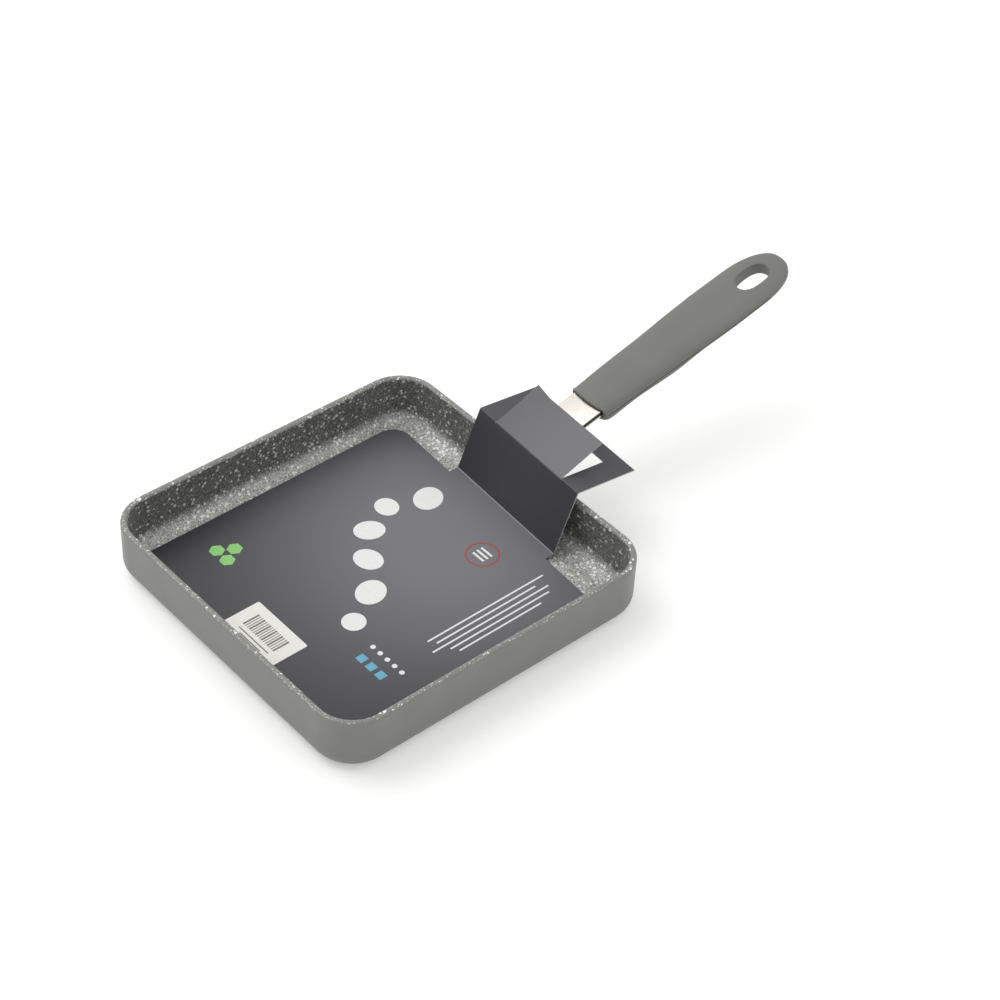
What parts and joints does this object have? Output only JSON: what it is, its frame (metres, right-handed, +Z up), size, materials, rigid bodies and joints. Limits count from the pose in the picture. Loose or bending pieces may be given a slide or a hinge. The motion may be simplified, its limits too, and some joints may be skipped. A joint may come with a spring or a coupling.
{
  "type": "square frying pan",
  "caption": "Small square non-stick pan with upright walls, a sloping flat steel neck, a moulded grip with a hanging hole, and the folded card sleeve it is sold in.",
  "frame": {"origin": "centre of the flat underside of the pan", "axes": "+X from the pan's centre along the handle, +Z up out of the pan, +Y to the left of the handle"},
  "size_m": [0.2698, 0.14, 0.0579],
  "materials": {
    "pan_coating": "matt grey non-stick coating, speckled with white inside",
    "neck_steel": "polished stainless strip",
    "rivet_aluminium": "bright",
    "grip_plastic": "soft-touch warm grey",
    "screw_steel": "zinc plated",
    "sleeve_board": "dark slate print with a silk varnish",
    "sticker_paper": "matt white label"
  },
  "bodies": {
    "pan": {"pan_body": "pan_coating", "handle_bracket": "neck_steel", "wall_rivet_left": "rivet_aluminium", "wall_rivet_right": "rivet_aluminium", "grip": "grip_plastic", "grip_screw": "screw_steel", "card_riser": "sleeve_board"},
    "floor_panel": {"card_floor_panel": "sleeve_board", "card_sticker": "sticker_paper"},
    "collar": {"card_collar": "sleeve_board"},
    "tongue": {"card_tongue": "sleeve_board"}
  },
  "joints": [
    {"name": "floor_panel_fold", "type": "hinge", "parent": "pan", "child": "floor_panel", "pos_m": [0.05819, -0.00266, 0.005], "axis": [0.061, 0.9981, 0], "range_deg": [0, 95]},
    {"name": "collar_fold", "type": "hinge", "parent": "pan", "child": "collar", "pos_m": [0.06807, -0.00326, 0.0293], "axis": [0.061, 0.9981, 0], "range_deg": [0, 50], "stiffness_Nm_per_rad": 0.003},
    {"name": "tongue_fold", "type": "hinge", "parent": "pan", "child": "tongue", "pos_m": [0.06807, -0.00326, 0.0293], "axis": [-0.061, -0.9981, 0], "range_deg": [-17, 60], "stiffness_Nm_per_rad": 0.003}
  ]
}
